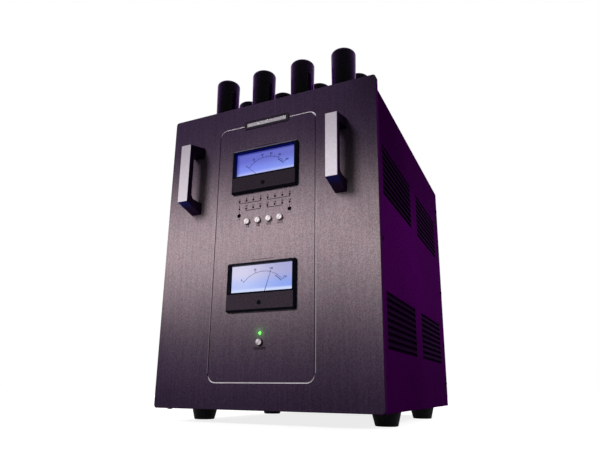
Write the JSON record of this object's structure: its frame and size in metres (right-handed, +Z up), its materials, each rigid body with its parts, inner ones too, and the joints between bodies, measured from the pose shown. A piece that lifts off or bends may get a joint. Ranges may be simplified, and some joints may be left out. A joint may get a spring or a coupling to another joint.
{
  "type": "tube power amplifier",
  "caption": "Tall mono tube power amplifier: brushed front panel with two meters, bar handles and buttons, vented case on feet, output tubes in rows on the deck.",
  "frame": {"origin": "on the floor, under the middle of the whole amplifier's box", "axes": "+Z up, +X to the right seen from the front, +Y to the back; the front panel faces -Y"},
  "size_m": [0.368, 0.559, 0.6025],
  "materials": {
    "panel_metal": "fine vertical brushing, anodised mauve grey",
    "nameplate_metal": "brushed, bare",
    "handle_metal": "satin, brushed along the bar",
    "black_steel": "black zinc",
    "bezel_plastic": "gloss black",
    "dial_paint": "blue back-lit dial",
    "clear_glass": "clear",
    "movement_steel": "plain",
    "lamp_red": "lens, unlit",
    "lamp_green": "lens, lit",
    "board_green": "solder mask",
    "cover_paint": "fine dark texture",
    "frame_aluminium": "mill finish",
    "foot_rubber": "matt",
    "transformer_iron": "varnished laminations",
    "capacitor_aluminium": "sleeved cans",
    "socket_ceramic": "pale moulding",
    "inlet_plastic": "black",
    "post_brass": "gold plated",
    "button_silver": "silvered",
    "needle_metal": "matt black",
    "zero_screw_plastic": "black",
    "trimmer_plastic": "pale",
    "nut_red": "red, clear skin",
    "nut_black": "black, clear skin",
    "tube_glass": "dark smoked glass"
  },
  "bodies": {
    "chassis": {"front_panel": "panel_metal", "nameplate": "nameplate_metal", "handle_left": "handle_metal", "handle_right": "handle_metal", "panel_bolts": "black_steel", "cover_screws": "black_steel", "bias_meter_case": "bezel_plastic", "line_meter_case": "bezel_plastic", "bias_meter_dial": "dial_paint", "line_meter_dial": "dial_paint", "meter_windows": "clear_glass", "meter_movements": "movement_steel", "tube_status_lamps": "lamp_red", "power_lamp": "lamp_green", "control_boards": "board_green", "side_cover_left": "cover_paint", "side_cover_right": "cover_paint", "top_deck": "cover_paint", "rear_panel": "cover_paint", "bottom_plate": "cover_paint", "chassis_frame": "frame_aluminium", "feet": "foot_rubber", "power_transformer": "transformer_iron", "output_transformer": "transformer_iron", "filter_capacitors": "capacitor_aluminium", "tube_board": "board_green", "tube_sockets": "socket_ceramic", "driver_board": "board_green", "mains_inlet": "inlet_plastic", "input_socket": "inlet_plastic", "speaker_posts": "post_brass"},
    "meter_button_1": {"meter_button_1": "button_silver"},
    "meter_button_2": {"meter_button_2": "button_silver"},
    "meter_button_3": {"meter_button_3": "button_silver"},
    "meter_button_4": {"meter_button_4": "button_silver"},
    "power_button": {"power_button": "button_silver"},
    "bias_meter_needle": {"bias_meter_needle": "needle_metal"},
    "line_meter_needle": {"line_meter_needle": "needle_metal"},
    "bias_meter_zero_screw": {"bias_meter_zero_screw": "zero_screw_plastic"},
    "line_meter_zero_screw": {"line_meter_zero_screw": "zero_screw_plastic"},
    "bias_trimmer_left": {"bias_trimmer_left": "trimmer_plastic"},
    "bias_trimmer_right": {"bias_trimmer_right": "trimmer_plastic"},
    "speaker_nut_red": {"speaker_nut_red": "nut_red"},
    "speaker_nut_black": {"speaker_nut_black": "nut_black"},
    "output_tube_01": {"output_tube_01": "tube_glass"},
    "output_tube_02": {"output_tube_02": "tube_glass"},
    "output_tube_03": {"output_tube_03": "tube_glass"},
    "output_tube_04": {"output_tube_04": "tube_glass"},
    "output_tube_05": {"output_tube_05": "tube_glass"},
    "output_tube_06": {"output_tube_06": "tube_glass"},
    "output_tube_07": {"output_tube_07": "tube_glass"},
    "output_tube_08": {"output_tube_08": "tube_glass"},
    "output_tube_09": {"output_tube_09": "tube_glass"},
    "output_tube_10": {"output_tube_10": "tube_glass"},
    "output_tube_11": {"output_tube_11": "tube_glass"},
    "output_tube_12": {"output_tube_12": "tube_glass"},
    "output_tube_13": {"output_tube_13": "tube_glass"},
    "output_tube_14": {"output_tube_14": "tube_glass"},
    "output_tube_15": {"output_tube_15": "tube_glass"},
    "output_tube_16": {"output_tube_16": "tube_glass"}
  },
  "joints": [
    {"name": "meter_button_1_press", "type": "slide", "parent": "chassis", "child": "meter_button_1", "axis": [0, 1, 0], "range_m": [0, 0.0015], "stiffness_N_per_m": 600},
    {"name": "meter_button_2_press", "type": "slide", "parent": "chassis", "child": "meter_button_2", "axis": [0, 1, 0], "range_m": [0, 0.0015], "stiffness_N_per_m": 600},
    {"name": "meter_button_3_press", "type": "slide", "parent": "chassis", "child": "meter_button_3", "axis": [0, 1, 0], "range_m": [0, 0.0015], "stiffness_N_per_m": 600},
    {"name": "meter_button_4_press", "type": "slide", "parent": "chassis", "child": "meter_button_4", "axis": [0, 1, 0], "range_m": [0, 0.0015], "stiffness_N_per_m": 600},
    {"name": "power_button_press", "type": "slide", "parent": "chassis", "child": "power_button", "axis": [0, 1, 0], "range_m": [0, 0.0015], "stiffness_N_per_m": 600},
    {"name": "bias_meter_needle_swing", "type": "hinge", "parent": "chassis", "child": "bias_meter_needle", "pos_m": [0, -0.2382, 0.3666], "axis": [0, 1, 0], "range_deg": [-0.5, 96.5], "stiffness_Nm_per_rad": 0.0005},
    {"name": "line_meter_needle_swing", "type": "hinge", "parent": "chassis", "child": "line_meter_needle", "pos_m": [0, -0.2382, 0.1772], "axis": [0, 1, 0], "range_deg": [-66, 31], "stiffness_Nm_per_rad": 0.0005},
    {"name": "bias_meter_zero_screw_turn", "type": "hinge", "parent": "chassis", "child": "bias_meter_zero_screw", "pos_m": [0, -0.2467, 0.3619], "axis": [0, 1, 0], "range_deg": [-60, 60]},
    {"name": "line_meter_zero_screw_turn", "type": "hinge", "parent": "chassis", "child": "line_meter_zero_screw", "pos_m": [0, -0.2467, 0.1725], "axis": [0, 1, 0], "range_deg": [-60, 60]},
    {"name": "bias_trimmer_left_turn", "type": "hinge", "parent": "chassis", "child": "bias_trimmer_left", "pos_m": [-0.04445, -0.2305, 0.3138], "axis": [0, 1, 0], "range_deg": [-135, 135]},
    {"name": "bias_trimmer_right_turn", "type": "hinge", "parent": "chassis", "child": "bias_trimmer_right", "pos_m": [0.04445, -0.2305, 0.3138], "axis": [0, 1, 0], "range_deg": [-135, 135]},
    {"name": "speaker_nut_black_turn", "type": "hinge", "parent": "chassis", "child": "speaker_nut_black", "pos_m": [0.05, 0.2545, 0.115], "axis": [0, 1, 0], "range_deg": [0, 720]},
    {"name": "speaker_nut_red_turn", "type": "hinge", "parent": "chassis", "child": "speaker_nut_red", "pos_m": [0.09, 0.2545, 0.115], "axis": [0, 1, 0], "range_deg": [0, 720]},
    {"name": "output_tube_01_lift", "type": "slide", "parent": "chassis", "child": "output_tube_01", "axis": [0, 0, 1], "range_m": [0, 0.13]},
    {"name": "output_tube_02_lift", "type": "slide", "parent": "chassis", "child": "output_tube_02", "axis": [0, 0, 1], "range_m": [0, 0.13]},
    {"name": "output_tube_03_lift", "type": "slide", "parent": "chassis", "child": "output_tube_03", "axis": [0, 0, 1], "range_m": [0, 0.13]},
    {"name": "output_tube_04_lift", "type": "slide", "parent": "chassis", "child": "output_tube_04", "axis": [0, 0, 1], "range_m": [0, 0.13]},
    {"name": "output_tube_05_lift", "type": "slide", "parent": "chassis", "child": "output_tube_05", "axis": [0, 0, 1], "range_m": [0, 0.13]},
    {"name": "output_tube_06_lift", "type": "slide", "parent": "chassis", "child": "output_tube_06", "axis": [0, 0, 1], "range_m": [0, 0.13]},
    {"name": "output_tube_07_lift", "type": "slide", "parent": "chassis", "child": "output_tube_07", "axis": [0, 0, 1], "range_m": [0, 0.13]},
    {"name": "output_tube_08_lift", "type": "slide", "parent": "chassis", "child": "output_tube_08", "axis": [0, 0, 1], "range_m": [0, 0.13]},
    {"name": "output_tube_09_lift", "type": "slide", "parent": "chassis", "child": "output_tube_09", "axis": [0, 0, 1], "range_m": [0, 0.13]},
    {"name": "output_tube_10_lift", "type": "slide", "parent": "chassis", "child": "output_tube_10", "axis": [0, 0, 1], "range_m": [0, 0.13]},
    {"name": "output_tube_11_lift", "type": "slide", "parent": "chassis", "child": "output_tube_11", "axis": [0, 0, 1], "range_m": [0, 0.13]},
    {"name": "output_tube_12_lift", "type": "slide", "parent": "chassis", "child": "output_tube_12", "axis": [0, 0, 1], "range_m": [0, 0.13]},
    {"name": "output_tube_13_lift", "type": "slide", "parent": "chassis", "child": "output_tube_13", "axis": [0, 0, 1], "range_m": [0, 0.13]},
    {"name": "output_tube_14_lift", "type": "slide", "parent": "chassis", "child": "output_tube_14", "axis": [0, 0, 1], "range_m": [0, 0.13]},
    {"name": "output_tube_15_lift", "type": "slide", "parent": "chassis", "child": "output_tube_15", "axis": [0, 0, 1], "range_m": [0, 0.13]},
    {"name": "output_tube_16_lift", "type": "slide", "parent": "chassis", "child": "output_tube_16", "axis": [0, 0, 1], "range_m": [0, 0.13]}
  ]
}
